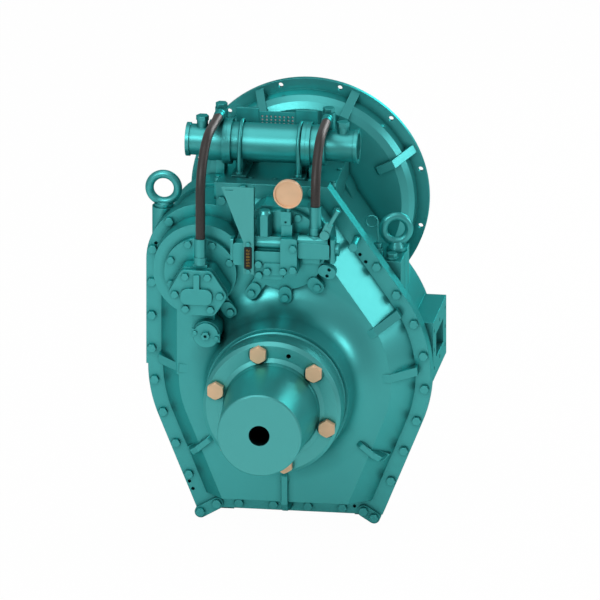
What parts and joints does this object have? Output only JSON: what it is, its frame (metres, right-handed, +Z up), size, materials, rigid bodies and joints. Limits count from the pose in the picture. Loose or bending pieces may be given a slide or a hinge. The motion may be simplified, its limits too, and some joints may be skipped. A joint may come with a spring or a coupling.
{
  "type": "marine gearbox",
  "caption": "Marine reversing and reduction gearbox with a bell housing for the engine, a tapered output coupling low down, an oil cooler on top and a pump and valve group behind.",
  "frame": {"origin": "centre of the engine flange's mating face, on the input shaft's axis", "axes": "+Y towards the engine along the shafts, +Z up, +X to the right seen from the propeller side"},
  "size_m": [0.6727, 0.82, 0.9662],
  "materials": {
    "casing_paint": "semi-gloss teal enamel over cast iron and steel",
    "coppered_steel": "light copper-coloured plated steel, satin",
    "hose_rubber": "dark grey-brown hose cover, satin",
    "plate_black": "black enamelled plate",
    "copper_tube": "plain copper alloy tube",
    "bearing_steel": "ground steel",
    "gear_steel": "machined steel, oiled",
    "friction_lining": "sintered bronze lining",
    "lever_steel": "bare machined steel"
  },
  "bodies": {
    "gearbox": {"main_casing": "casing_paint", "rear_casing": "casing_paint", "bell_housing": "casing_paint", "top_cover": "casing_paint", "small_screws": "casing_paint", "cover_bolts": "casing_paint", "output_bearing_cover": "casing_paint", "input_rear_cover": "casing_paint", "counter_rear_cover": "casing_paint", "input_bearing_cover": "casing_paint", "bearing_outer_rings": "bearing_steel", "pump_body": "casing_paint", "pump_cover": "casing_paint", "strainer_cover": "casing_paint", "valve_body": "casing_paint", "left_valve": "casing_paint", "right_valve": "casing_paint", "valve_end_flange": "casing_paint", "gauge_post": "casing_paint", "pressure_gauge": "coppered_steel", "breather": "casing_paint", "cable_bracket": "casing_paint", "indicator_plate": "plate_black", "lifting_eyes": "casing_paint", "dipstick_tube": "casing_paint", "screw_plugs": "casing_paint", "cooler_shell": "casing_paint", "tube_bundle": "copper_tube", "cooler_left_bonnet": "casing_paint", "cooler_right_bonnet": "casing_paint", "banjo_fittings": "casing_paint", "banjo_bolts": "casing_paint", "cooler_straps": "casing_paint", "cooler_brackets": "casing_paint", "perforated_guard": "casing_paint", "casing_bolts": "casing_paint", "oil_hoses": "hose_rubber", "hose_ferrules": "casing_paint"},
    "output": {"output_gear": "gear_steel", "output_shaft": "gear_steel", "output_flange": "casing_paint", "propeller_coupling": "casing_paint", "coupling_bolts": "coppered_steel", "output_bearings_inner": "bearing_steel"},
    "input": {"input_shaft": "gear_steel", "forward_drum": "gear_steel", "forward_steel_plates": "gear_steel", "input_bearings_inner": "bearing_steel"},
    "counter": {"counter_shaft": "gear_steel", "reverse_drum": "gear_steel", "reverse_steel_plates": "gear_steel", "counter_bearings_inner": "bearing_steel", "pump_gear": "gear_steel"},
    "forward_pinion": {"forward_pinion": "gear_steel", "forward_friction_plates": "friction_lining"},
    "reverse_pinion": {"reverse_pinion": "gear_steel", "reverse_friction_plates": "friction_lining"},
    "pump_idler": {"pump_idler": "gear_steel"},
    "lever": {"control_lever": "lever_steel"},
    "dipstick": {"dipstick": "casing_paint"}
  },
  "joints": [
    {"name": "output_spin", "type": "hinge", "parent": "gearbox", "child": "output", "pos_m": [0, -0.4, -0.32], "axis": [0, 1, 0], "continuous": true},
    {"name": "input_spin", "type": "hinge", "parent": "gearbox", "child": "input", "pos_m": [0, -0.2, 0], "axis": [0, 1, 0], "continuous": true},
    {"name": "counter_spin", "type": "hinge", "parent": "gearbox", "child": "counter", "pos_m": [-0.1942, -0.2, -0.06566], "axis": [0, 1, 0], "continuous": true},
    {"name": "forward_pinion_spin", "type": "hinge", "parent": "gearbox", "child": "forward_pinion", "pos_m": [0, -0.34, 0], "axis": [0, 1, 0], "continuous": true},
    {"name": "reverse_pinion_spin", "type": "hinge", "parent": "gearbox", "child": "reverse_pinion", "pos_m": [-0.1942, -0.34, -0.06566], "axis": [0, 1, 0], "continuous": true},
    {"name": "pump_idler_spin", "type": "hinge", "parent": "gearbox", "child": "pump_idler", "pos_m": [-0.1942, -0.466, -0.10066], "axis": [0, 1, 0], "continuous": true},
    {"name": "lever_turn", "type": "hinge", "parent": "gearbox", "child": "lever", "pos_m": [0.102, -0.474, 0.057], "axis": [0, 1, 0], "range_deg": [-30, 30]},
    {"name": "dipstick_pull", "type": "slide", "parent": "gearbox", "child": "dipstick", "axis": [0, 0, 1], "range_m": [0, 0.2]}
  ],
  "couplings": [
    {"joint": "forward_pinion_spin", "follows": "output_spin", "ratio": -3},
    {"joint": "reverse_pinion_spin", "follows": "output_spin", "ratio": -3},
    {"joint": "counter_spin", "follows": "input_spin", "ratio": -1},
    {"joint": "pump_idler_spin", "follows": "input_spin", "ratio": 1}
  ]
}
